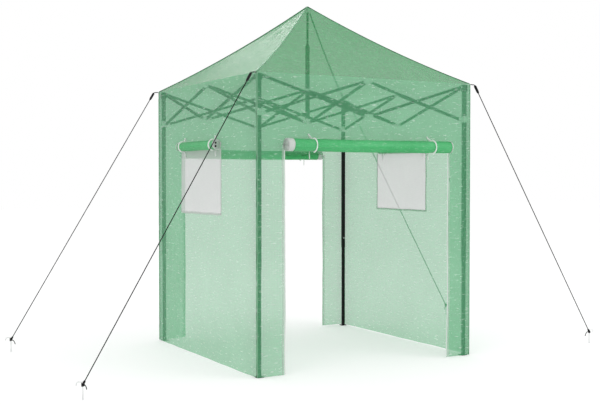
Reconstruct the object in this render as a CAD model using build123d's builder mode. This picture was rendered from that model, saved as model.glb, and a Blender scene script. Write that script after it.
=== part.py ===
"""A small square pop-up greenhouse: a folding scissor frame on four telescopic legs, a peak pole,
a cloth cover in eight sheets and four guy lines.

Millimetres, +Z up. The origin is on the floor, in the middle of the plan; the front door faces -Y.
Every side of the frame is the front side turned about Z, so pieces are made at the front.
"""

import math
import os
from build123d import *

# ---- driving dimensions ----
COVER_WIDTH = 1500.0  # outside of the cover, both ways
EAVE_Z = 1712.0
APEX_Z = 2250.0
CLOTH = 1.5

LEG_AXIS = 724.0  # from the middle to each leg's axis, in X and in Y
UPPER_TUBE, UPPER_WALL = 21.0, 1.2
LOWER_TUBE, LOWER_WALL = 18.0, 1.2
UPPER_TUBE_FOOT_Z = 595.0
LOWER_TUBE_TOP_Z = 1000.0
BUTTON_Z = 665.0
FOOT_SIZE, FOOT_THICK, FOOT_SHIFT = 42.0, 4.0, 3.0
PEG_HOLE_R = 3.5
PEG_HOLE_PITCH = 28.0

PIVOT_TOP_Z = 1690.0
PIVOT_LOW_Z = 1490.0
LEG_PIVOT = 34.0  # from a leg's axis to its bars' pins
SIDE_PIVOT = 22.0  # from the middle of a side to its bars' pins
JOINT_PIVOT = 26.0  # from the plane of a side to the pin of the bar that comes from the hub
HUB_PIVOT = 30.0  # from the pole's axis to the hub's pins

BAR_HEIGHT, BAR_THICK, BAR_WALL = 15.0, 10.0, 1.0
LAYER = 6.0  # each bar's middle lies this far to one side of its scissor's plane
PIN_R, PIN_HOLE_R, PIN_HEAD_R, PIN_HEAD = 3.0, 3.06, 5.0, 1.6
PLATE, PLATE_GAP, PLATE_R = 3.5, 0.3, 9.0

POLE_R, POLE_WALL, POLE_TOP_Z = 14.0, 1.2, 1983.0
ROD_R, CAP_R, CAP_Z = 7.0, 20.0, 2205.0
HUB_R, HUB_HALF = 18.5, 18.0
BORE_GAP = 0.3

# each doorway's half width and top, then its roll's radius, ends and height
FRONT_DOOR = (571.0, 1296.0), (37.0, -583.0, 561.0, 1309.0)
REAR_DOOR = (557.0, 1282.0), (33.0, -562.0, 562.0, 1290.0)
# each window's middle and half width, then its roll's radius, ends and height
LEFT_WINDOW = (-31.0, 300.0), (29.0, -305.0, 272.0, 1322.0)
RIGHT_WINDOW = (7.0, 290.0), (29.0, -285.0, 299.0, 1322.0)
WINDOW_LOW_Z, WINDOW_TOP_Z = 904.0, 1296.0
HEM_Z = 2.0  # the cover's lower edge

ROPE_R = 2.75
ROPE_START = (753.5, 750.0, 1708.0)  # the rear right corner; the others are its mirror images
ROPE_BEND = (783.0, 752.0, 1706.0)
STAKE = (1752.0, 788.0)
STAKE_TOP_Z, STAKE_R, STAKE_HOOK = 88.0, 3.0, 30.0
TENSIONER_R, TENSIONER_LENGTH = 8.0, 55.0

# ---- values worked out from them ----
SIDE_SPAN = LEG_AXIS - SIDE_PIVOT - LEG_PIVOT
RISE = PIVOT_TOP_Z - PIVOT_LOW_Z
BAR_LENGTH = math.hypot(SIDE_SPAN, RISE)
HALF_COVER = COVER_WIDTH / 2
BAR_END_R = BAR_HEIGHT / 2
MID_Z = (PIVOT_TOP_Z + PIVOT_LOW_Z) / 2
CLEVIS_HALF = BAR_THICK / 2 + PLATE_GAP + PLATE

SIDES = {"front": 0, "right": 90, "rear": 180, "left": 270}
CORNERS = {"front_left": (-1, -1), "front_right": (1, -1), "rear_right": (1, 1), "rear_left": (-1, 1)}


# ---- small shapes ----
def pin(point, axis, length):
    """A riveted pin, centred on a point, with a head at each end."""
    with BuildPart() as made:
        with BuildSketch(Plane(point, z_dir=axis)):
            Circle(PIN_R)
        extrude(amount=length / 2, both=True)
        for end in (-1, 1):
            tip = Vector(point) + Vector(axis) * end * length / 2
            with BuildSketch(Plane(tip, z_dir=Vector(axis) * end)):
                Circle(PIN_HEAD_R)
            extrude(amount=PIN_HEAD)
    return made.part


def clevis(pivot, outward, across, root):
    """Two ears that hold a bar's end at a pin. outward is the way the bar leaves, across is the pin's
    direction, and root is how far the ears reach back from the pin."""
    plane = Plane(pivot, x_dir=outward, z_dir=across)
    ear_middle = BAR_THICK / 2 + PLATE_GAP + PLATE / 2
    with BuildPart() as made:
        for side in (-1, 1):
            with BuildSketch(plane.offset(side * ear_middle)):
                Circle(PLATE_R)
                with Locations((-root / 2, 0)):
                    Rectangle(root, 2 * PLATE_R)
            extrude(amount=PLATE / 2, both=True)
        with BuildSketch(plane.offset(-2 * CLEVIS_HALF)):
            Circle(PIN_HOLE_R)
        extrude(amount=4 * CLEVIS_HALF, mode=Mode.SUBTRACT)
    return made.part


def block(low, high):
    """A box between two corners."""
    size = [b - a for a, b in zip(low, high)]
    middle = tuple((a + b) / 2 for a, b in zip(low, high))
    with BuildPart() as made:
        with Locations(middle):
            Box(*size)
    return made.part


def bar(start, end, across):
    """A rectangular tube with rounded ends, drilled at both ends and in the middle."""
    start, end = Vector(start), Vector(end)
    plane = Plane((start + end) / 2, x_dir=end - start, z_dir=across)
    with BuildPart() as made:
        with BuildSketch(plane):
            SlotCenterToCenter(BAR_LENGTH, BAR_HEIGHT)
        extrude(amount=BAR_THICK / 2, both=True)
        with BuildSketch(plane):
            Rectangle(BAR_LENGTH + 2 * BAR_HEIGHT, BAR_HEIGHT - 2 * BAR_WALL)
        extrude(amount=BAR_THICK / 2 - BAR_WALL, both=True, mode=Mode.SUBTRACT)
        with BuildSketch(plane):
            with Locations((-BAR_LENGTH / 2, 0), (0, 0), (BAR_LENGTH / 2, 0)):
                Circle(PIN_HOLE_R)
        extrude(amount=BAR_THICK, both=True, mode=Mode.SUBTRACT)
    return made.part


def square_tube(size, wall, low_z, high_z, x, y):
    """A square tube standing on its axis at x, y."""
    with BuildPart() as made:
        with BuildSketch(Plane((x, y, low_z))):
            Rectangle(size, size)
            Rectangle(size - 2 * wall, size - 2 * wall, mode=Mode.SUBTRACT)
        extrude(amount=high_z - low_z)
    return made.part


def turned(solids, angle):
    """The front side's pieces, turned to another side."""
    return [s.rotate(Axis.Z, angle) for s in solids]


def mirrored(solids, corner):
    """The rear right corner's pieces, mirrored to another corner."""
    x_sign, y_sign = CORNERS[corner]
    if x_sign < 0:
        solids = [s.mirror(Plane.YZ) for s in solids]
    if y_sign < 0:
        solids = [s.mirror(Plane.XZ) for s in solids]
    return solids


def write(name, solids):
    """Writes one node of one or more separate solids."""
    parts = [s for piece in solids for s in piece.solids()]
    node = Compound(label=name, children=parts) if len(parts) > 1 else parts[0]
    node.label = name
    export_step(node, f"parts/{name}.step")


# ---- hub and peak pole ----
def hub(pivot_z, layer, bore_r):
    """A round hub with four clevises, one for each side's bar."""
    with BuildPart() as body:
        with BuildSketch(Plane.XY.offset(pivot_z - HUB_HALF)):
            Circle(HUB_R)
        extrude(amount=2 * HUB_HALF)
        for angle in SIDES.values():
            ears = clevis((layer, -HUB_PIVOT, pivot_z), (0, -1, 0), (1, 0, 0), HUB_PIVOT - POLE_R)
            add(ears.rotate(Axis.Z, angle))
        with BuildSketch(Plane.XY.offset(pivot_z - 2 * HUB_HALF)):
            Circle(bore_r)
        extrude(amount=4 * HUB_HALF, mode=Mode.SUBTRACT)
    pins = turned_pins((layer, -HUB_PIVOT, pivot_z))
    return [body.part, *pins]


def turned_pins(point):
    """One pin for each side of a hub."""
    return [pin(point, (1, 0, 0), 2 * CLEVIS_HALF).rotate(Axis.Z, angle) for angle in SIDES.values()]


def center_pole():
    """The pole stands in the lower hub and slides through the upper one. A thinner rod carries the cap."""
    foot_z = PIVOT_LOW_Z - HUB_HALF
    taper = 16.0
    with BuildPart() as tube:
        with BuildSketch(Plane.XY.offset(foot_z)):
            Circle(POLE_R)
            Circle(POLE_R - POLE_WALL, mode=Mode.SUBTRACT)
        extrude(amount=POLE_TOP_Z - foot_z)
    with BuildPart() as ferrule:
        with BuildSketch(Plane.XY.offset(POLE_TOP_Z)):
            Circle(POLE_R)
        extrude(amount=taper, taper=20)
        with BuildSketch(Plane.XY.offset(POLE_TOP_Z)):
            Circle(ROD_R)
        extrude(amount=taper, mode=Mode.SUBTRACT)
    with BuildPart() as rod:
        with BuildSketch(Plane.XY.offset(POLE_TOP_Z - 4 * taper)):
            Circle(ROD_R)
        extrude(amount=CAP_Z - POLE_TOP_Z + 4 * taper)
    return [tube.part, ferrule.part, rod.part]


def pole_cap():
    """A domed cap that the cover's peak rests on."""
    height, edge = 31.0, 17.0
    with BuildPart() as cap:
        with BuildSketch(Plane.XY.offset(CAP_Z)):
            Circle(CAP_R)
        extrude(amount=height)
        fillet(cap.faces().sort_by(Axis.Z)[-1].edges(), edge)
    return [cap.part]


# ---- one side's scissors, made at the front ----
def inner_bar_down():
    """From the upper hub out to the side's lower joint."""
    start = (-LAYER, -HUB_PIVOT, PIVOT_TOP_Z)
    end = (-LAYER, -LEG_AXIS + JOINT_PIVOT, PIVOT_LOW_Z)
    middle = (0, (start[1] + end[1]) / 2, MID_Z)
    cross_pin = pin(middle, (1, 0, 0), 2 * LAYER + BAR_THICK)
    return [bar(start, end, (1, 0, 0)), cross_pin, spacer(middle, (1, 0, 0))]


def inner_bar_up():
    """From the lower hub out to the side's upper joint."""
    return [bar((LAYER, -HUB_PIVOT, PIVOT_LOW_Z), (LAYER, -LEG_AXIS + JOINT_PIVOT, PIVOT_TOP_Z), (1, 0, 0))]


def spacer(point, axis):
    """A washer between the two bars of a scissor."""
    width = 2 * LAYER - BAR_THICK
    with BuildPart() as made:
        with BuildSketch(Plane(point, z_dir=axis)):
            Circle(BAR_END_R)
            Circle(PIN_HOLE_R, mode=Mode.SUBTRACT)
        extrude(amount=width / 2 - 0.05, both=True)
    return made.part


def side_bar(hand, to_leg_top):
    """Half a side's bar, from the side's middle to its leg. hand is -1 for the half on the left as seen
    from outside. Bars that reach the leg's top lie outside the others and carry the scissor's pin."""
    y = -LEG_AXIS - LAYER if to_leg_top else -LEG_AXIS + LAYER
    inner_z, outer_z = (PIVOT_LOW_Z, PIVOT_TOP_Z) if to_leg_top else (PIVOT_TOP_Z, PIVOT_LOW_Z)
    near, far = hand * SIDE_PIVOT, hand * (LEG_AXIS - LEG_PIVOT)
    solids = [bar((near, y, inner_z), (far, y, outer_z), (0, 1, 0))]
    if to_leg_top:
        middle = ((near + far) / 2, -LEG_AXIS, MID_Z)
        solids += [pin(middle, (0, 1, 0), 2 * LAYER + BAR_THICK), spacer(middle, (0, 1, 0))]
    return solids


def side_joint(pivot_z, side_layer, inner_layer):
    """The three-way joint in the middle of a side: two bars along the side, and one from the hub."""
    y = -LEG_AXIS + side_layer
    inner_y = -LEG_AXIS + JOINT_PIVOT
    web = SIDE_PIVOT - BAR_END_R - 1.0
    with BuildPart() as body:
        add(block((-web, y - CLEVIS_HALF, pivot_z - PLATE_R), (web, y + CLEVIS_HALF, pivot_z + PLATE_R)))
        for hand in (-1, 1):
            add(clevis((hand * SIDE_PIVOT, y, pivot_z), (hand, 0, 0), (0, 1, 0), SIDE_PIVOT - web / 2))
        ear_root = inner_y - (y + CLEVIS_HALF) + 2.0
        add(clevis((inner_layer, inner_y, pivot_z), (0, 1, 0), (1, 0, 0), ear_root))
        low = (inner_layer - CLEVIS_HALF, inner_y - ear_root, pivot_z - PLATE_R)
        high = (inner_layer + CLEVIS_HALF, inner_y - BAR_END_R - 1.5, pivot_z + PLATE_R)
        add(block(low, high))
    pins = [pin((hand * SIDE_PIVOT, y, pivot_z), (0, 1, 0), 2 * CLEVIS_HALF) for hand in (-1, 1)]
    inner_pin = pin((inner_layer, inner_y, pivot_z), (1, 0, 0), 2 * CLEVIS_HALF)
    return [body.part, *pins, inner_pin]


# ---- legs, made at the rear right corner ----
def leg_clevises(pivot_z, layer, root):
    """The two clevises of a leg: one for the bar along X and one for the bar along Y."""
    offset = LEG_AXIS + layer
    pivot = LEG_AXIS - LEG_PIVOT
    ears = [
        clevis((pivot, offset, pivot_z), (-1, 0, 0), (0, 1, 0), root),
        clevis((offset, pivot, pivot_z), (0, -1, 0), (1, 0, 0), root),
    ]
    pins = [
        pin((pivot, offset, pivot_z), (0, 1, 0), 2 * CLEVIS_HALF),
        pin((offset, pivot, pivot_z), (1, 0, 0), 2 * CLEVIS_HALF),
    ]
    return ears, pins


def leg_upper():
    """The outer tube, the corner bracket on its top and the snap button on its inner face."""
    bracket_half, bracket_low, bracket_high = 15.0, PIVOT_TOP_Z - 24.0, PIVOT_TOP_Z + 16.0
    tube_top = bracket_high - 4.0
    tube = square_tube(UPPER_TUBE, UPPER_WALL, UPPER_TUBE_FOOT_Z, tube_top, LEG_AXIS, LEG_AXIS)
    ears, pins = leg_clevises(PIVOT_TOP_Z, LAYER, LEG_PIVOT - UPPER_TUBE / 2 - 1.0)
    with BuildPart() as bracket:
        with BuildSketch(Plane((LEG_AXIS, LEG_AXIS, bracket_low))):
            RectangleRounded(2 * bracket_half, 2 * bracket_half, 3.0)
        extrude(amount=bracket_high - bracket_low)
        for ear in ears:
            add(ear)
        with BuildSketch(Plane((LEG_AXIS, LEG_AXIS, bracket_low))):
            Rectangle(UPPER_TUBE, UPPER_TUBE)
        extrude(amount=tube_top - bracket_low, mode=Mode.SUBTRACT)
    face = (LEG_AXIS, LEG_AXIS - UPPER_TUBE / 2, BUTTON_Z)
    with BuildPart() as button:
        with BuildSketch(Plane(face, z_dir=(0, -1, 0))):
            Circle(4.0)
        extrude(amount=3.0)
        fillet(button.faces().sort_by(Axis.Y)[0].edges(), 1.2)
    return [tube, bracket.part, button.part, *pins]


def slider():
    """The sleeve that runs on the leg's outer tube as the frame folds."""
    half, height = 15.5, 20.0
    inner = UPPER_TUBE + 2 * BORE_GAP
    ears, pins = leg_clevises(PIVOT_LOW_Z, -LAYER, LEG_PIVOT - UPPER_TUBE / 2 - 1.5)
    with BuildPart() as sleeve:
        with BuildSketch(Plane((LEG_AXIS, LEG_AXIS, PIVOT_LOW_Z - height))):
            RectangleRounded(2 * half, 2 * half, 3.0)
        extrude(amount=2 * height)
        for ear in ears:
            add(ear)
        with BuildSketch(Plane((LEG_AXIS, LEG_AXIS, PIVOT_LOW_Z - height))):
            Rectangle(inner, inner)
        extrude(amount=2 * height, mode=Mode.SUBTRACT)
    with BuildPart() as release:
        with BuildSketch(Plane((LEG_AXIS + half, LEG_AXIS, PIVOT_LOW_Z - height / 2), z_dir=(1, 0, 0))):
            Circle(5.0)
        extrude(amount=2.5)
    return [sleeve.part, release.part, *pins]


def leg_lower():
    """The inner tube and the foot plate, with its two holes for ground pegs."""
    tube = square_tube(LOWER_TUBE, LOWER_WALL, FOOT_THICK, LOWER_TUBE_TOP_Z, LEG_AXIS, LEG_AXIS)
    foot_middle = LEG_AXIS - FOOT_SHIFT
    reach = PEG_HOLE_PITCH / 2
    with BuildPart() as foot:
        with BuildSketch(Plane((foot_middle, foot_middle, 0))):
            RectangleRounded(FOOT_SIZE, FOOT_SIZE, 5.0)
            with Locations((-reach, reach), (reach, -reach)):
                Circle(PEG_HOLE_R, mode=Mode.SUBTRACT)
        extrude(amount=FOOT_THICK)
    return [tube, foot.part]


# ---- cover, made at the front ----
def roof_panel():
    """One of the four triangles of the roof, which hangs on its eave."""
    slope = math.atan2(APEX_Z - EAVE_Z, HALF_COVER)
    slant = math.hypot(HALF_COVER, APEX_Z - EAVE_Z)
    inset = 2.5
    outward = (0, -math.sin(slope), math.cos(slope))
    plane = Plane((0, -HALF_COVER, EAVE_Z), x_dir=(1, 0, 0), z_dir=outward)
    with BuildPart() as panel:
        with BuildSketch(plane):
            with BuildLine():
                Polyline((-HALF_COVER + inset, 0), (HALF_COVER - inset, 0), (0, slant - inset), close=True)
            make_face()
        extrude(amount=-CLOTH)
    return [panel.part]


def cloth_roll(radius, start_x, end_x, z):
    """A rolled-up flap on the outside of the wall, pressed a little flat against it."""
    pressed = 1.5
    with BuildPart() as roll:
        with BuildSketch(Plane((start_x, -HALF_COVER - radius + pressed, z), z_dir=(1, 0, 0))):
            Circle(radius)
        extrude(amount=end_x - start_x)
        split(bisect_by=Plane.XZ.offset(HALF_COVER), keep=Keep.TOP)
    return roll.part


def door_wall(opening, roll):
    """Two sheets beside the doorway, the sheet above it, and the rolled-up door."""
    half, door_top = opening
    out, inside, top = -HALF_COVER, -HALF_COVER + CLOTH, EAVE_Z - 2.0
    beside_left = block((-HALF_COVER, out, HEM_Z), (-half, inside, top))
    beside_right = block((half, out, HEM_Z), (HALF_COVER, inside, top))
    above = block((-half, out, door_top), (half, inside, top))
    return [beside_left, beside_right, above, cloth_roll(*roll)]


def window_wall(opening, roll):
    """A sheet with a window, the window's netting, and its rolled-up flap."""
    middle, window_half = opening
    half = HALF_COVER - 2.0
    out, inside, top = -HALF_COVER, -HALF_COVER + CLOTH, EAVE_Z - 2.0
    left, right = middle - window_half, middle + window_half
    with BuildPart() as sheet:
        add(block((-half, out, HEM_Z), (half, inside, top)))
        add(block((left, out - 1.0, WINDOW_LOW_Z), (right, inside + 1.0, WINDOW_TOP_Z)), mode=Mode.SUBTRACT)
    netting = block((left, out + 0.5, WINDOW_LOW_Z), (right, inside, WINDOW_TOP_Z))
    return [sheet.part, netting, cloth_roll(*roll)]


# ---- guy lines, made at the rear right corner ----
def guy_line():
    """A rope from the roof's corner to its stake, with the tensioner on it and the knot round the stake."""
    start, bend = Vector(*ROPE_START), Vector(*ROPE_BEND)
    knot_r = 8.0
    stake = Vector(*STAKE, STAKE_TOP_Z - 10.0)
    direction = (stake - bend).normalized()
    end = stake - direction * knot_r
    turn = math.radians((bend - start).get_angle(end - bend))
    radius = 0.45 * (bend - start).length / math.tan(turn / 2)
    with BuildPart() as rope:
        with BuildLine() as route:
            FilletPolyline(start, bend, end, radius=radius)
        with BuildSketch(Plane(start, z_dir=bend - start)):
            Circle(ROPE_R)
        sweep(path=route.line)
    clear = radius * math.tan(turn / 2) + 2.0
    with BuildPart() as tensioner:
        with BuildSketch(Plane(bend + direction * clear, z_dir=direction)):
            Circle(TENSIONER_R)
            Circle(ROPE_R + 0.1, mode=Mode.SUBTRACT)
        extrude(amount=TENSIONER_LENGTH)
    with BuildPart() as knot:
        with Locations(stake):
            Sphere(knot_r)
            Cylinder(STAKE_R + 0.05, 4 * knot_r, mode=Mode.SUBTRACT)
    return [rope.part, tensioner.part, knot.part, stake_wire()]


def stake_wire():
    """The bent wire stake that the rope is tied to."""
    x, y = STAKE
    foot = (x, y, 0.5)
    corner = (x, y, STAKE_TOP_Z)
    far = (x + STAKE_HOOK, y, STAKE_TOP_Z + 8.0)
    tip = (x + STAKE_HOOK + 6.0, y, STAKE_TOP_Z - 14.0)
    with BuildPart() as wire:
        with BuildLine() as bent:
            FilletPolyline(foot, corner, far, tip, radius=8.0)
        with BuildSketch(Plane(foot, z_dir=(0, 0, 1))):
            Circle(STAKE_R)
        sweep(path=bent.line)
    return wire.part


def main():
    os.makedirs("parts", exist_ok=True)
    write("hub_upper", hub(PIVOT_TOP_Z, -LAYER, POLE_R + BORE_GAP))
    write("hub_lower", hub(PIVOT_LOW_Z, LAYER, POLE_R + 0.01))
    write("peak_pole", center_pole())
    write("peak_cap", pole_cap())
    front_pieces = {
        "inner_bar_down": inner_bar_down(),
        "inner_bar_up": inner_bar_up(),
        "side_joint_upper": side_joint(PIVOT_TOP_Z, LAYER, LAYER),
        "side_joint_lower": side_joint(PIVOT_LOW_Z, -LAYER, -LAYER),
        "side_bar_high_a": side_bar(-1, True),
        "side_bar_high_b": side_bar(1, True),
        "side_bar_low_a": side_bar(-1, False),
        "side_bar_low_b": side_bar(1, False),
        "roof": roof_panel(),
    }
    walls = {
        "front": door_wall(*FRONT_DOOR),
        "right": window_wall(*RIGHT_WINDOW),
        "rear": door_wall(*REAR_DOOR),
        "left": window_wall(*LEFT_WINDOW),
    }
    for side, angle in SIDES.items():
        for name, solids in front_pieces.items():
            write(f"{name}_{side}", turned(solids, angle))
        write(f"wall_{side}", turned(walls[side], angle))
    corner_pieces = {
        "leg_upper": leg_upper(),
        "slider": slider(),
        "leg_lower": leg_lower(),
        "guy_line": guy_line(),
    }
    for corner in CORNERS:
        for name, solids in corner_pieces.items():
            write(f"{name}_{corner}", mirrored(solids, corner))


main()
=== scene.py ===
"""The pop-up greenhouse as it looks: woven film cover, rolled flaps, ties, guy lines, studio light."""

import math

import bpy
from mathutils import Matrix, Vector, noise


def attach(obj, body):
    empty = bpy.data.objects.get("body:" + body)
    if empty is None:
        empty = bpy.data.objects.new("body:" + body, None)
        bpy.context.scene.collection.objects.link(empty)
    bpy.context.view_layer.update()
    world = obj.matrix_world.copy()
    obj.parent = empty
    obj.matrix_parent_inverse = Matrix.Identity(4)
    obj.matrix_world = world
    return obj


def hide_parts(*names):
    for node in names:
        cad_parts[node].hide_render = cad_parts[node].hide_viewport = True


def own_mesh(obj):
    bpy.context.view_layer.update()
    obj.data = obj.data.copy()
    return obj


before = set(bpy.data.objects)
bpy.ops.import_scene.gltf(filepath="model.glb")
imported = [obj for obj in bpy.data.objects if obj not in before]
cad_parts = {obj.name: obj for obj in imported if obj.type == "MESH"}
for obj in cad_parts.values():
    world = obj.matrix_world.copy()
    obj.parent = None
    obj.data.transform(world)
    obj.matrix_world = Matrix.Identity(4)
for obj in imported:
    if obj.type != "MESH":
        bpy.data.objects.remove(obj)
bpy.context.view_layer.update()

HALF = 0.750
EAVE_Z, APEX_Z = 1.712, 2.250
# each doorway's half width and top, and each window's middle and half width
DOORS = {"front": (0.571, 1.296), "rear": (0.557, 1.282)}
WINDOWS = {"left": (-0.031, 0.300), "right": (0.007, 0.290)}
WINDOW_LOW, WINDOW_TOP = 0.904, 1.296
# each roll's radius, ends and height
ROLLS = {
    "front": (0.037, -0.583, 0.561, 1.309),
    "rear": (0.033, -0.562, 0.562, 1.290),
    "left": (0.029, -0.305, 0.272, 1.322),
    "right": (0.029, -0.285, 0.299, 1.322),
}
ROPE_START, ROPE_BEND = Vector((0.7535, 0.750, 1.708)), Vector((0.783, 0.752, 1.706))
STAKE = Vector((1.752, 0.788, 0.088))
ROPE_R = 0.00275
WIRE_R = 0.0028
# the cover's reinforcing threads, and how far the roof sags at its hips and between them
THREAD_PITCH, THREAD_SHARE = 0.010, 0.17
HIP_SAG, PANEL_SAG, SAG_WAVE = 0.026, 0.010, 0.0035
ROOF_ROWS, ROOF_COLUMNS = 40, 48
# the white that the painted glints on the cover mix in
GLINT_PAINT_WHITE = (0.86, 0.93, 0.88, 1.0)
SIDES = {"front": 0, "right": 90, "rear": 180, "left": 270}
CORNERS = {"front_left": (-1, -1), "front_right": (1, -1), "rear_right": (1, 1), "rear_left": (-1, 1)}


# ---- materials ----
def new_material(name):
    m = bpy.data.materials.new(name)
    m.use_nodes = True
    m.node_tree.nodes.clear()
    return m, m.node_tree.nodes, m.node_tree.links


def node(nodes, kind, **values):
    n = nodes.new(kind)
    for key, value in values.items():
        if key in n.inputs:
            n.inputs[key].default_value = value
        else:
            setattr(n, key, value)
    return n


def math_node(nodes, links, operation, a, b=None, clamp=False):
    n = nodes.new("ShaderNodeMath")
    n.operation = operation
    n.use_clamp = clamp
    for i, v in enumerate((a, b)):
        if v is None:
            continue
        if isinstance(v, (int, float)):
            n.inputs[i].default_value = v
        else:
            links.new(v, n.inputs[i])
    return n.outputs[0]


def mix_color(nodes, links, factor, a, b):
    n = nodes.new("ShaderNodeMix")
    n.data_type = "RGBA"
    if isinstance(factor, (int, float)):
        n.inputs[0].default_value = factor
    else:
        links.new(factor, n.inputs[0])
    for socket, v in ((n.inputs[6], a), (n.inputs[7], b)):
        if isinstance(v, tuple):
            socket.default_value = v
        else:
            links.new(v, socket)
    return n.outputs[2]


def noise_field(nodes, links, vector, scale, detail=3.0, stretch=(1, 1, 1), turn=0.0):
    mapping = nodes.new("ShaderNodeMapping")
    mapping.inputs["Scale"].default_value = stretch
    mapping.inputs["Rotation"].default_value = (0, 0, turn)
    links.new(vector, mapping.inputs["Vector"])
    field = node(nodes, "ShaderNodeTexNoise", Scale=scale, Detail=detail, Roughness=0.55)
    links.new(mapping.outputs[0], field.inputs["Vector"])
    return field.outputs["Fac"]


def ramp(nodes, links, value, low, high):
    n = nodes.new("ShaderNodeMapRange")
    n.inputs["From Min"].default_value = low
    n.inputs["From Max"].default_value = high
    n.clamp = True
    links.new(value, n.inputs["Value"])
    return n.outputs[0]


def thread_lines(nodes, links, coordinate, pitch, share):
    """1 on a thread and 0 between threads."""
    turns = math_node(nodes, links, "FRACT", math_node(nodes, links, "DIVIDE", coordinate, pitch))
    off_middle = math_node(nodes, links, "ABSOLUTE", math_node(nodes, links, "SUBTRACT", turns, 0.5))
    return ramp(nodes, links, off_middle, 0.5 - share, 0.5 - share * 0.5)


def film_cloth(name, pale, deep, opacity, painted_glint_share=1.0, mesh=1.0, roughness=0.32, drape=1.0):
    """Woven slit film under a thin coating: a reinforcing grid, soft creases, and short white dashes mixed
    into the colour as painted glints.
    """
    m, nodes, links = new_material(name)
    uv = nodes.new("ShaderNodeUVMap").outputs[0]
    parts = nodes.new("ShaderNodeSeparateXYZ")
    links.new(uv, parts.inputs[0])
    across = thread_lines(nodes, links, parts.outputs[0], THREAD_PITCH, THREAD_SHARE)
    along = thread_lines(nodes, links, parts.outputs[1], THREAD_PITCH, THREAD_SHARE)
    grid = math_node(nodes, links, "MAXIMUM", across, along)
    clouds = noise_field(nodes, links, uv, 3.0, 4.0)
    patches = noise_field(nodes, links, uv, 60.0, 3.0, (0.45, 3.2, 1.0))
    # painted highlights: short white glint dashes from stretched noise, later mixed into the colour and made
    # a little more opaque
    glint_dashes = ramp(nodes, links, noise_field(nodes, links, uv, 42.0, 2.0, (0.5, 2.0, 1.0)), 0.60, 0.72)
    glint_ticks = ramp(nodes, links, noise_field(nodes, links, uv, 70.0, 2.0, (1.5, 0.8, 1.0)), 0.64, 0.74)
    painted_glints = math_node(nodes, links, "MULTIPLY", math_node(nodes, links, "MAXIMUM", glint_dashes, glint_ticks), painted_glint_share)
    tone = math_node(nodes, links, "ADD", math_node(nodes, links, "MULTIPLY", clouds, 0.55),
                     math_node(nodes, links, "MULTIPLY", patches, 0.45))
    tone = ramp(nodes, links, tone, 0.36, 0.64)
    color = mix_color(nodes, links, tone, deep, pale)
    thread = math_node(nodes, links, "MULTIPLY", grid, 0.40 * mesh)
    color = mix_color(nodes, links, thread, color, tuple(0.72 * c for c in deep[:3]) + (1.0,))
    # painted glints: white mixed into the colour under the glint mask
    color = mix_color(nodes, links, math_node(nodes, links, "MULTIPLY", painted_glints, 0.50), color, GLINT_PAINT_WHITE)
    creases = noise_field(nodes, links, uv, 5.5, 5.0, (1.0, 0.35, 1.0), 0.5)
    folds = noise_field(nodes, links, uv, 2.2, 3.0, (2.4, 0.5, 1.0), -0.2)
    height = math_node(nodes, links, "ADD", math_node(nodes, links, "MULTIPLY", creases, 0.006),
                       math_node(nodes, links, "MULTIPLY", folds, 0.010 * drape))
    height = math_node(nodes, links, "ADD", height, math_node(nodes, links, "MULTIPLY", grid, 0.00015))
    bump = node(nodes, "ShaderNodeBump", Strength=0.55, Distance=1.0)
    links.new(height, bump.inputs["Height"])
    skin = node(nodes, "ShaderNodeBsdfPrincipled", Roughness=roughness)
    skin.inputs["Specular IOR Level"].default_value = 0.35
    links.new(color, skin.inputs["Base Color"])
    links.new(bump.outputs[0], skin.inputs["Normal"])
    glow = node(nodes, "ShaderNodeBsdfTranslucent")
    links.new(color, glow.inputs["Color"])
    body = nodes.new("ShaderNodeMixShader")
    body.inputs[0].default_value = 0.42
    links.new(skin.outputs[0], body.inputs[1])
    links.new(glow.outputs[0], body.inputs[2])
    if opacity < 1.0:
        denser = math_node(nodes, links, "MULTIPLY", grid, 0.14 * mesh)
        cover = math_node(nodes, links, "ADD", denser, opacity)
        # the painted glints are also made a little more opaque
        glint_cover = math_node(nodes, links, "MULTIPLY", painted_glints, 0.14)
        cover = math_node(nodes, links, "ADD", cover, glint_cover, clamp=True)
        clear = nodes.new("ShaderNodeBsdfTransparent")
        mixed = nodes.new("ShaderNodeMixShader")
        links.new(cover, mixed.inputs[0])
        links.new(clear.outputs[0], mixed.inputs[1])
        links.new(body.outputs[0], mixed.inputs[2])
        body = mixed
    out = nodes.new("ShaderNodeOutputMaterial")
    links.new(body.outputs[0], out.inputs[0])
    return m


def hard(name, color, roughness, metallic=0.0, grain=0.04, bump_depth=0.0002, scale=900.0, specular=0.4):
    """Painted metal or moulded plastic, with a little grain, patchy gloss and scuffs."""
    m, nodes, links = new_material(name)
    place = nodes.new("ShaderNodeTexCoord").outputs["Object"]
    fine = noise_field(nodes, links, place, scale, 2.0)
    patch = noise_field(nodes, links, place, 9.0, 4.0)
    scuffs = ramp(nodes, links, noise_field(nodes, links, place, 70.0, 3.0, (1, 1, 0.25)), 0.66, 0.74)
    lighter = tuple(min(1.0, c * 1.25 + grain) for c in color[:3]) + (1.0,)
    tint = mix_color(nodes, links, ramp(nodes, links, patch, 0.3, 0.7), color, lighter)
    tint = mix_color(nodes, links, math_node(nodes, links, "MULTIPLY", scuffs, 0.10), tint, lighter)
    shader = node(nodes, "ShaderNodeBsdfPrincipled", Metallic=metallic)
    shader.inputs["Specular IOR Level"].default_value = specular
    links.new(tint, shader.inputs["Base Color"])
    gloss = nodes.new("ShaderNodeMapRange")
    gloss.inputs["To Min"].default_value = roughness - 0.07
    gloss.inputs["To Max"].default_value = roughness + 0.10
    links.new(patch, gloss.inputs["Value"])
    links.new(gloss.outputs[0], shader.inputs["Roughness"])
    bump = node(nodes, "ShaderNodeBump", Strength=0.5, Distance=bump_depth)
    links.new(fine, bump.inputs["Height"])
    links.new(bump.outputs[0], shader.inputs["Normal"])
    out = nodes.new("ShaderNodeOutputMaterial")
    links.new(shader.outputs[0], out.inputs[0])
    return m


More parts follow.
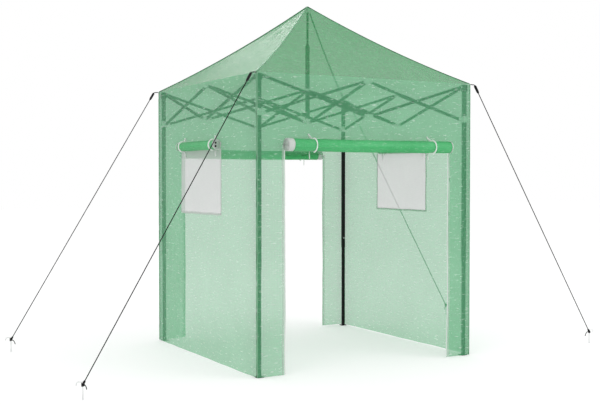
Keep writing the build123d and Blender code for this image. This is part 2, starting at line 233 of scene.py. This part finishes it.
def braided(name, color, light, sheen):
    """Twisted or woven cord and tape."""
    m, nodes, links = new_material(name)
    place = nodes.new("ShaderNodeTexCoord").outputs["Object"]
    wave = node(nodes, "ShaderNodeTexWave", Scale=260.0, Distortion=1.2, Detail=2.0)
    wave.bands_direction = "DIAGONAL"
    links.new(place, wave.inputs["Vector"])
    fuzz = noise_field(nodes, links, place, 340.0, 2.0)
    blend = math_node(nodes, links, "MULTIPLY", wave.outputs["Fac"], fuzz)
    tint = mix_color(nodes, links, ramp(nodes, links, blend, 0.1, 0.6), color, light)
    shader = node(nodes, "ShaderNodeBsdfPrincipled", Roughness=0.8)
    shader.inputs["Sheen Weight"].default_value = sheen
    shader.inputs["Specular IOR Level"].default_value = 0.15
    links.new(tint, shader.inputs["Base Color"])
    bump = node(nodes, "ShaderNodeBump", Strength=0.6, Distance=0.0006)
    links.new(wave.outputs["Fac"], bump.inputs["Height"])
    links.new(bump.outputs[0], shader.inputs["Normal"])
    out = nodes.new("ShaderNodeOutputMaterial")
    links.new(shader.outputs[0], out.inputs[0])
    return m


CLOTH = film_cloth("wall cloth", (0.175, 0.540, 0.290, 1), (0.110, 0.445, 0.210, 1), 0.57)
ROOF = film_cloth("roof cloth", (0.060, 0.400, 0.145, 1), (0.035, 0.330, 0.100, 1), 0.58, painted_glint_share=0.35,
                  roughness=0.27, drape=2.6)
ROLLED = film_cloth("rolled cloth", (0.16, 0.70, 0.31, 1), (0.075, 0.53, 0.19, 1), 1.0, painted_glint_share=0.5, mesh=0.8)
SEAM = film_cloth("seam tape", (0.06, 0.28, 0.14, 1), (0.04, 0.22, 0.10, 1), 0.80, painted_glint_share=0.3)
PIPING = film_cloth("pale piping", (0.40, 0.72, 0.50, 1), (0.32, 0.62, 0.41, 1), 0.62, painted_glint_share=0.3)
NET = film_cloth("window film", (0.66, 0.66, 0.66, 1), (0.61, 0.61, 0.612, 1), 0.74, painted_glint_share=0.0, mesh=0.3)
NET_HEM = film_cloth("window hem", (0.66, 0.67, 0.66, 1), (0.60, 0.61, 0.60, 1), 0.86, painted_glint_share=0.0, mesh=0.3)
TAPE = film_cloth("white tape", (0.86, 0.87, 0.86, 1), (0.78, 0.80, 0.78, 1), 0.94, painted_glint_share=0.0, mesh=0.8)
STEEL = hard("black powder coat", (0.0045, 0.0045, 0.005, 1), 0.48, grain=0.004, specular=0.12)
PLASTIC = hard("pale plastic", (0.66, 0.68, 0.67, 1), 0.45)
PIN = hard("zinc pins", (0.55, 0.56, 0.57, 1), 0.30, metallic=1.0)
BLACK_PLASTIC = hard("black plastic", (0.007, 0.007, 0.0075, 1), 0.42, grain=0.004, specular=0.12)
WIRE = hard("galvanised wire", (0.62, 0.63, 0.63, 1), 0.34, metallic=0.9)
ROPE = braided("dark rope", (0.006, 0.006, 0.006, 1), (0.022, 0.022, 0.022, 1), 0.05)
TIE = braided("white tie", (0.80, 0.81, 0.80, 1), (0.92, 0.92, 0.91, 1), 0.3)


# ---- mesh building ----
class Shape:
    """Vertices, faces, UVs in metres and materials, gathered into one mesh."""

    def __init__(self):
        self.points, self.faces, self.uvs, self.slots, self.materials = [], [], [], [], []

    def slot(self, material):
        if material not in self.materials:
            self.materials.append(material)
        return self.materials.index(material)

    def face(self, corners, uvs, material):
        self.faces.append(corners)
        self.uvs.extend(uvs)
        self.slots.append(self.slot(material))

    def grid(self, us, vs, place, material_at, flip=False):
        """A sheet over the grid us × vs. material_at(u, v) is None where there is a hole."""
        start = len(self.points)
        for v in vs:
            for u in us:
                self.points.append(place(u, v))
        wide = len(us)
        for j in range(len(vs) - 1):
            for i in range(wide - 1):
                material = material_at((us[i] + us[i + 1]) / 2, (vs[j] + vs[j + 1]) / 2)
                if material is None:
                    continue
                a = start + j * wide + i
                corners = [a, a + 1, a + wide + 1, a + wide]
                uvs = [(us[i], vs[j]), (us[i + 1], vs[j]), (us[i + 1], vs[j + 1]), (us[i], vs[j + 1])]
                if flip:
                    corners.reverse()
                    uvs.reverse()
                self.face(corners, uvs, material)

    def tube(self, path, radii, material, sides=12, flat=1.0, up=(0, 0, 1), capped=True):
        """A round or flattened tube along a path."""
        path = [Vector(p) for p in path]
        if isinstance(radii, (int, float)):
            radii = [radii] * len(path)
        start, length = len(self.points), 0.0
        lengths = []
        for i, p in enumerate(path):
            ahead = path[min(i + 1, len(path) - 1)] - path[max(i - 1, 0)]
            side = ahead.cross(Vector(up))
            if side.length < 1e-9:
                side = ahead.cross(Vector((1, 0, 0)))
            side.normalize()
            other = side.cross(ahead).normalized()
            if i:
                length += (p - path[i - 1]).length
            lengths.append(length)
            for k in range(sides):
                a = 2 * math.pi * k / sides
                self.points.append(p + radii[i] * (math.cos(a) * side + flat * math.sin(a) * other))
        for i in range(len(path) - 1):
            for k in range(sides):
                a, b = start + i * sides + k, start + i * sides + (k + 1) % sides
                girth = 2 * math.pi * radii[i] / sides
                uvs = [(lengths[i], k * girth), (lengths[i], (k + 1) * girth),
                       (lengths[i + 1], (k + 1) * girth), (lengths[i + 1], k * girth)]
                self.face([a, b, b + sides, a + sides], uvs, material)
        if capped:
            for first, turn in ((start, -1), (start + (len(path) - 1) * sides, 1)):
                ring = [first + k for k in range(sides)][::turn]
                self.face(ring, [(0.01 * math.cos(k), 0.01 * math.sin(k)) for k in range(sides)], material)

    def build(self, name, angle=0.0, mirror=(1, 1), smooth=True):
        mesh = bpy.data.meshes.new(name)
        turn = Matrix.Rotation(math.radians(angle), 3, "Z")
        points = [turn @ Vector((p[0] * mirror[0], p[1] * mirror[1], p[2])) for p in self.points]
        faces = self.faces
        if mirror[0] * mirror[1] < 0:
            faces = [f[::-1] for f in faces]
        mesh.from_pydata(points, [], faces)
        layer = mesh.uv_layers.new(name="UVMap")
        at = 0
        for polygon in mesh.polygons:
            count = polygon.loop_total
            given = self.uvs[at:at + count]
            if mirror[0] * mirror[1] < 0:
                given = given[::-1]
            for k in range(count):
                layer.data[polygon.loop_start + k].uv = given[k]
            at += count
            polygon.material_index = self.slots[polygon.index]
            polygon.use_smooth = smooth
        for material in self.materials:
            mesh.materials.append(material)
        mesh.validate()
        obj = bpy.data.objects.new(name, mesh)
        bpy.context.scene.collection.objects.link(obj)
        return obj


def steps(stops, pitch):
    """Grid lines through every stop, about one pitch apart."""
    found = []
    for a, b in zip(stops, stops[1:]):
        count = max(1, round((b - a) / pitch))
        found += [a + (b - a) * k / count for k in range(count)]
    return found + [stops[-1]]


def ripple(u, v, seed, scale=1.0):
    """A smooth wandering value from -1 to 1."""
    return noise.noise(Vector((u * 2.1 * scale, v * 1.3 * scale, seed * 7.3)))


# ---- guy lines (made first) ----
def rope(corner):
    sx, sy = CORNERS[corner]
    knot = Vector((STAKE.x, STAKE.y, STAKE.z - 0.010))
    direction = (knot - ROPE_BEND).normalized()
    end = knot - direction * 0.008
    before = ROPE_BEND + (ROPE_START - ROPE_BEND).normalized() * 0.013
    after = ROPE_BEND + direction * 0.013
    curve = bpy.data.curves.new(f"rope_{corner}", "CURVE")
    curve.dimensions = "3D"
    curve.bevel_depth = ROPE_R
    curve.bevel_resolution = 4
    curve.resolution_u = 12
    spline = curve.splines.new("NURBS")
    points = [ROPE_START, before, ROPE_BEND, after, end]
    spline.points.add(len(points) - 1)
    for p, target in zip(spline.points, points):
        p.co = (target.x * sx, target.y * sy, target.z, 1.0)
    spline.order_u = 3
    spline.use_endpoint_u = True
    curve.materials.append(ROPE)
    obj = bpy.data.objects.new(f"rope_{corner}", curve)
    bpy.context.scene.collection.objects.link(obj)
    start = (ROPE_START.x * sx, ROPE_START.y * sy, ROPE_START.z)
    length = (ROPE_BEND - ROPE_START).length + (end - ROPE_BEND).length
    return obj, start, length, knot, direction


def rope_fittings(corner, knot, direction):
    """The tensioner near the roof's corner, and the knot with its short tail on the stake."""
    upper = Shape()
    here = ROPE_BEND + direction * 0.004
    slide = [here + direction * t for t in (0.0, 0.003, 0.012, 0.038, 0.050, 0.056)]
    upper.tube(slide, [0.0056, 0.0090, 0.0097, 0.0094, 0.0082, 0.0050], BLACK_PLASTIC, 14, 0.80)
    side = Vector((0, 1, 0))
    back = [here + direction * 0.050 + side * 0.004 - direction * t + Vector((0, 0, -t * 0.25)) for t in
            (0.0, 0.006, 0.014, 0.022)]
    upper.tube(back, 0.0024, ROPE, 8)
    lower = Shape()
    turns = []
    for k in range(61):
        a = 2 * math.pi * k / 20
        turns.append(knot + Vector((0.0060 * math.cos(a), 0.0060 * math.sin(a), (k / 60 - 0.5) * 0.016)))
    lower.tube(turns, 0.0030, ROPE, 8)
    bulge = [knot - direction * t for t in (-0.001, 0.004, 0.010, 0.018, 0.024)]
    lower.tube(bulge, [0.002, 0.0064, 0.0070, 0.0058, 0.0028], ROPE, 10)
    tail = [knot + Vector((-0.004, -0.004, 0)), knot + Vector((-0.012, -0.010, -0.004)),
            knot + Vector((-0.020, -0.012, -0.016)), knot + Vector((-0.024, -0.013, -0.030))]
    lower.tube(tail, 0.0026, ROPE, 8)
    mirror = CORNERS[corner]
    return upper.build(f"tensioner_{corner}", mirror=mirror), lower.build(f"knot_{corner}", mirror=mirror)


def stake(corner):
    """A bent wire stake, pushed in to the floor line."""
    shape = Shape()
    x, y, top = STAKE
    shank = [(x, y, 0.0005), (x, y, 0.04), (x, y, top - 0.008)]
    bend = [(x + 0.001, y, top - 0.002), (x + 0.005, y, top + 0.002), (x + 0.026, y, top + 0.0055)]
    hook = [(x + 0.0305, y, top + 0.003), (x + 0.0325, y, top - 0.002), (x + 0.0355, y, top - 0.013)]
    shape.tube(shank + bend + hook, WIRE_R, WIRE, 10, up=(0, 1, 0))
    return shape.build(f"stake_{corner}", mirror=CORNERS[corner])


for name in CORNERS:
    rope_obj, start, length, knot, direction = rope(name)
    upper, lower = rope_fittings(name, knot, direction)
    peg = stake(name)
    for obj in (rope_obj, upper, lower, peg):
        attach(obj, f"leg_upper_{name}")
    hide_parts(f"guy_line_{name}")
    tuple(start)


# ---- camera ----
camera_data = bpy.data.cameras.new("camera")
camera_data.sensor_width = 36.0
camera_data.lens = 58.914
camera_data.clip_end = 100.0
camera = bpy.data.objects.new("camera", camera_data)
camera.location = (-3.1993, -5.6322, 1.1209)
camera.rotation_euler = (math.pi / 2 - 0.0250, 0.0, -0.5090)
bpy.context.scene.collection.objects.link(camera)
bpy.context.scene.camera = camera


# ---- cover ----
def wall_place(seed, opening=None):
    """The wall's sheet: flat at the top and at the corners, and loosely rippled below."""
    def place(u, v):
        free = min(1.0, (EAVE_Z - v) / 0.5) * min(1.0, (HALF - abs(u)) / 0.10)
        out = 0.0022 + 0.0040 * free * ripple(u, v, seed, 1.6) + 0.0022 * free * ripple(u, v, seed + 5, 5.0)
        low = 0.003 * ripple(u, 0.3, seed + 2, 3.0) * max(0.0, 1 - v / 0.10)
        edge = 0.0
        if opening and abs(abs(u) - opening[0]) < 1e-6 and v < opening[1]:
            edge = 0.0040 * ripple(v, 0.7, seed + 3, 2.4)
        return (u + edge, -HALF + 0.0015 - out, v + low)
    return place


def tape_strip(shape, points, width, across, material=TAPE, lift=0.0018):
    """A flat tape along points, on the outside of a front wall."""
    across = Vector(across) * width / 2
    start, length = len(shape.points), 0.0
    for p in points:
        p = Vector(p) + Vector((0, -lift, 0))
        shape.points += [p - across, p + across]
    for i in range(len(points) - 1):
        a = start + 2 * i
        step = (Vector(points[i + 1]) - Vector(points[i])).length
        uvs = [(0, length), (width, length), (width, length + step), (0, length + step)]
        shape.face([a, a + 1, a + 3, a + 2], uvs, material)
        length += step


def corner_piping(shape, place, half):
    """The pale piping down both upright edges."""
    for hand in (-1, 1):
        edge = [Vector(place(hand * half, v)) + Vector((-hand * 0.002, -0.0005, 0)) for v in
                steps([0.006, EAVE_Z - 0.004], 0.05)]
        shape.tube(edge, 0.0028, PIPING, 6)


def door_wall(side):
    shape = Shape()
    half, top = DOORS[side]
    place = wall_place(SIDES[side] / 90 + 1, DOORS[side])
    us = steps([-HALF, -half, half, HALF], 0.025)
    vs = steps([0.004, top, EAVE_Z - 0.001], 0.03)
    shape.grid(us, vs, place, lambda u, v: None if abs(u) < half and v < top else CLOTH)
    for hand in (-1, 1):
        edge = [place(hand * half, v) for v in steps([0.006, top + 0.01], 0.03)]
        edge = [(p[0] + hand * 0.004, p[1], p[2]) for p in edge]
        tape_strip(shape, edge, 0.010, (1, 0, 0))
        zip_line = [(p[0] + hand * 0.012, p[1], p[2]) for p in edge]
        shape.tube([Vector(p) + Vector((0, -0.001, 0)) for p in zip_line], 0.0014, TAPE, 5)
    corner_piping(shape, place, HALF)
    return shape.build(f"wall_cloth_{side}", SIDES[side])


def window_wall(side):
    shape = Shape()
    middle, half = WINDOWS[side]
    left, right = middle - half, middle + half
    place = wall_place(SIDES[side] / 90 + 1)
    us = steps([-HALF + 0.002, left, right, HALF - 0.002], 0.025)
    vs = steps([0.004, WINDOW_LOW, WINDOW_TOP, EAVE_Z - 0.001], 0.03)
    def material_at(u, v):
        return NET if left < u < right and WINDOW_LOW < v < WINDOW_TOP else CLOTH
    shape.grid(us, vs, place, material_at)
    def wavy(u, v):
        x, y, z = place(u, v)
        wander = 0.004 * ripple(v * 2, u, 9.0, 2.0)
        return (x + wander, y, z + 0.003 * ripple(u * 2, v, 12.0, 2.0))
    for edge_u in (left - 0.003, right + 0.003):
        edge = [wavy(edge_u, v) for v in steps([WINDOW_LOW - 0.004, WINDOW_TOP], 0.03)]
        tape_strip(shape, edge, 0.013, (1, 0, 0), NET_HEM, 0.001)
    low = [wavy(u, WINDOW_LOW - 0.003) for u in steps([left - 0.008, right + 0.008], 0.03)]
    tape_strip(shape, low, 0.013, (0, 0, 1), NET_HEM, 0.001)
    corner_piping(shape, place, HALF - 0.002)
    return shape.build(f"wall_cloth_{side}", SIDES[side])


def roll_parts(side):
    """The rolled flap with its white end hems, its ties and the tails that hang from them."""
    index = list(SIDES).index(side)
    radius, start_x, end_x, z = ROLLS[side]
    middle, half = (start_x + end_x) / 2, (end_x - start_x) / 2
    door = side in DOORS
    loops = [middle + k * half for k in ((-0.70, 0.76) if door else (-0.84, 0.80))]
    back = -HALF - radius + 0.001
    shape = Shape()
    xs = steps([start_x, end_x], 0.012)

    def axis(x):
        droop = 0.003 * math.cos(math.pi * (x - middle) / (2 * half))
        wander = 0.0015 * ripple(x, 0.1, index, 3)
        return (x, back + wander, z - droop + 0.002 * ripple(x, 0.9, index, 2.2))

    def radius_at(x):
        pinch = sum(math.exp(-(((x - loop) / 0.018) ** 2)) for loop in loops)
        lumps = 0.035 * ripple(x, 0.5, index + 4, 4)
        return radius * (0.985 - 0.07 * pinch + lumps + 0.02 * ripple(x, 2.5, index, 11))

    hem = 0.040 if door else 0.014
    white = [x for x in xs if x <= start_x + hem] + [start_x + hem + 0.002]
    green = [start_x + hem] + [x for x in xs if x > start_x + hem + 0.002]
    shape.tube([axis(x) for x in green], [radius_at(x) for x in green], ROLLED, 28)
    shape.tube([axis(x) for x in white], [radius_at(x) * 0.985 for x in white], TAPE, 28)
    end = Vector(axis(start_x)) + Vector((-0.0008, 0, 0))
    spiral = []
    for k in range(97):
        a = 2 * math.pi * k / 24
        r = radius * (0.12 + 0.80 * k / 96)
        spiral.append(end + Vector((0, r * math.cos(a), r * math.sin(a))))
    shape.tube(spiral, 0.0012, NET_HEM, 6)
    ring = []
    for k in range(33):
        a = 2 * math.pi * k / 32
        ring.append(Vector(axis(end_x)) + 0.93 * radius * Vector((0, math.cos(a), math.sin(a))))
    shape.tube(ring, 0.0040, TAPE, 8, up=(1, 0, 0))
    for turn in (0.70, 2.05, 2.75):
        edge = []
        for x in green:
            r = radius_at(x) * 0.985
            a = turn + 0.05 * ripple(x, turn, index, 2.0)
            edge.append(Vector(axis(x)) + Vector((0, -r * math.sin(a), r * math.cos(a))))
        shape.tube(edge, 0.0022 if turn < 1 else 0.0014, ROLLED, 6)
    body = shape.build(f"rolled_flap_{side}", SIDES[side])
    ties = Shape()
    for loop in loops:
        p, r = Vector(axis(loop)), radius_at(loop) + 0.0022
        above = z + radius
        path = [(loop - 0.012, -HALF - 0.002, above + 0.026), (loop - 0.006, -HALF - 0.004, above + 0.014)]
        for k in range(15):
            a = math.radians(70 + 205 * k / 14)
            path.append((loop + 0.010 * math.sin(a * 0.5), p.y + r * math.cos(a), p.z + r * math.sin(a)))
        ties.tube(path, 0.0078, TIE, 8, 0.28, up=(1, 0, 0))
        below = z - radius
        tail = [(loop - 0.004, -HALF - 0.004, below + 0.004), (loop - 0.006, -HALF - 0.006, below - 0.020),
                (loop - 0.004, -HALF - 0.005, below - 0.042)]
        ties.tube(tail, 0.0052, TIE, 8, 0.25, up=(1, 0, 0))
    if not door:
        for height in (0.010, -0.010):
            dot = Vector(axis(end_x)) + Vector((0.0, -radius * 0.30, height))
            ties.tube([dot, dot + Vector((0.006, 0, 0))], 0.0062, BLACK_PLASTIC, 12)
        disc = Vector(axis(end_x))
        ties.tube([disc + Vector((-0.012, 0, 0)), disc + Vector((0.003, 0, 0))], radius * 0.96, TAPE, 28)
    return body, ties.build(f"ties_{side}", SIDES[side])


def roof_place(u, v):
    """u runs from hip to hip and v from the eave to the peak; the cloth sags a little between them."""
    sag = 4 * v * (1 - v)
    belly = HIP_SAG * sag + PANEL_SAG * sag * (1 - u * u)
    wave = SAG_WAVE * sag * (1 - abs(u)) * ripple(u * 2, v * 2, 3.0, 1.5)
    spread = (HALF - 0.001) * (1 - v)
    back = -HALF + 0.0005 + (HALF - 0.0005) * v
    straight = EAVE_Z - 0.0008 + (APEX_Z - EAVE_Z - 0.003) * v
    return (u * spread, back, straight - belly + wave)


def roof_panel(side):
    shape = Shape()
    slant = math.hypot(HALF, APEX_Z - EAVE_Z)
    columns = ROOF_COLUMNS
    us = [-1 + 2 * k / columns for k in range(columns + 1)]
    vs = [j / ROOF_ROWS for j in range(ROOF_ROWS)] + [0.995]
    start = len(shape.points)
    for v in vs:
        for u in us:
            shape.points.append(roof_place(u, v))
    for j in range(len(vs) - 1):
        for i in range(columns):
            a = start + j * (columns + 1) + i
            corners = [a, a + 1, a + columns + 2, a + columns + 1]
            uvs = [(us[c] * HALF * (1 - vs[r]), slant * vs[r]) for c, r in
                   ((i, j), (i + 1, j), (i + 1, j + 1), (i, j + 1))]
            shape.face(corners, uvs, ROOF)
    for hand in (-1, 1):
        # The pale piping is real on the wall corners. On the roof only the hip turned toward the camera and
        # the key light gets it, as a painted highlight along that hip; the other hips get the dark seam
        # tape.
        pale = (side, hand) in (("front", -1), ("left", 1))
        hip = [Vector(roof_place(hand, v)) + Vector((-hand * 0.0035, 0, 0.0012)) for v in vs]
        shape.tube(hip, 0.0024, PIPING if pale else SEAM, 6)
    return shape.build(f"roof_cloth_{side}", SIDES[side])


def gathers(obj, side):
    """Gives the object its own copy of its mesh."""
    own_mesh(obj)


for side in SIDES:
    door = side in DOORS
    wall = door_wall(side) if door else window_wall(side)
    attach(wall, f"side_joint_upper_{side}")
    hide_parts(f"wall_{side}")
    flap, ties = roll_parts(side)
    area = 1.5 * 1.708
    if door:
        area -= 2 * DOORS[side][0] * DOORS[side][1]
    for obj in (flap, ties):
        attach(obj, f"side_joint_upper_{side}")
    roof = roof_panel(side)
    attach(roof, f"roof_{side}")
    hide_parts(f"roof_{side}")
    for obj in (wall, flap, ties, roof):
        gathers(obj, side)


# ---- the frame's materials ----
def islands(mesh):
    """Groups of face indices that share vertices."""
    owner = list(range(len(mesh.vertices)))
    def root(i):
        while owner[i] != i:
            owner[i] = owner[owner[i]]
            i = owner[i]
        return i
    where = {}
    for v in mesh.vertices:
        key = tuple(round(c, 6) for c in v.co)
        if key in where:
            owner[root(v.index)] = root(where[key])
        else:
            where[key] = v.index
    for p in mesh.polygons:
        first = root(p.vertices[0])
        for v in p.vertices[1:]:
            owner[root(v)] = first
            first = root(first)
    groups = {}
    for p in mesh.polygons:
        groups.setdefault(root(p.vertices[0]), []).append(p.index)
    return list(groups.values())


def paint(obj, choose):
    """Gives each separate solid of a node its own material, by its size and place."""
    mesh = obj.data
    mesh.materials.clear()
    slots = []
    for group in islands(mesh):
        points = [mesh.vertices[v].co for f in group for v in mesh.polygons[f].vertices]
        low = Vector([min(p[k] for p in points) for k in range(3)])
        high = Vector([max(p[k] for p in points) for k in range(3)])
        material = choose(low, high)
        if material not in slots:
            slots.append(material)
            mesh.materials.append(material)
        for f in group:
            mesh.polygons[f].material_index = slots.index(material)


def leg_material(low, high):
    size = high - low
    if size.z > 0.5 or high.z < 0.01:
        return STEEL
    return PIN if max(size) < 0.025 and low.z > 1.0 else PLASTIC


def joint_material(low, high):
    return PIN if max(high - low) < 0.025 else PLASTIC


def bar_material(low, high):
    size = max(high - low)
    return STEEL if size > 0.3 else (PLASTIC if size < 0.0155 else PIN)


for name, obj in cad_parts.items():
    if name.startswith(("wall", "roof", "guy")):
        continue
    if name.startswith("leg"):
        paint(obj, leg_material)
    elif name.startswith(("side_bar", "inner_bar")):
        paint(obj, bar_material)
    elif name == "peak_pole":
        paint(obj, lambda low, high: STEEL if (high - low).z > 0.1 else BLACK_PLASTIC)
    else:
        paint(obj, joint_material)


# ---- floor and light ----
def plain(name, color, glow, roughness=0.9):
    m, nodes, links = new_material(name)
    shader = node(nodes, "ShaderNodeBsdfPrincipled", Roughness=roughness)
    shader.inputs["Base Color"].default_value = color
    shader.inputs["Specular IOR Level"].default_value = 0.1
    out = nodes.new("ShaderNodeOutputMaterial")
    shader.inputs["Emission Color"].default_value = (1.0, 1.0, 1.0, 1.0)
    shader.inputs["Emission Strength"].default_value = glow
    links.new(shader.outputs[0], out.inputs[0])
    return m


bpy.ops.mesh.primitive_plane_add(size=60.0, location=(0, 0, -0.0005))
floor = bpy.context.object
floor.name = "floor"
floor.data.materials.append(plain("floor", (0.70, 0.70, 0.70, 1), 0.31))

world = bpy.data.worlds.new("studio")
bpy.context.scene.world = world
world.use_nodes = True
world.node_tree.nodes["Background"].inputs[0].default_value = (1.0, 1.0, 1.0, 1.0)
world.node_tree.nodes["Background"].inputs[1].default_value = 1.0
bpy.context.scene.view_settings.view_transform = "Standard"


def area_light(name, location, target, size, power):
    data = bpy.data.lights.new(name, "AREA")
    data.energy = power
    data.shape = "RECTANGLE"
    data.size, data.size_y = size
    light = bpy.data.objects.new(name, data)
    light.location = location
    light.rotation_euler = (Vector(target) - Vector(location)).to_track_quat("-Z", "Y").to_euler()
    bpy.context.scene.collection.objects.link(light)


area_light("key", (-5.0, -3.5, 6.0), (0, 0, 1.2), (3.0, 3.0), 55)
area_light("fill", (4.5, -5.5, 4.0), (0, 0, 1.0), (4.0, 4.0), 100)
area_light("roof sheen", (1.6, 6.6, 5.2), (-0.375, 0, 1.98), (1.6, 0.8), 20)
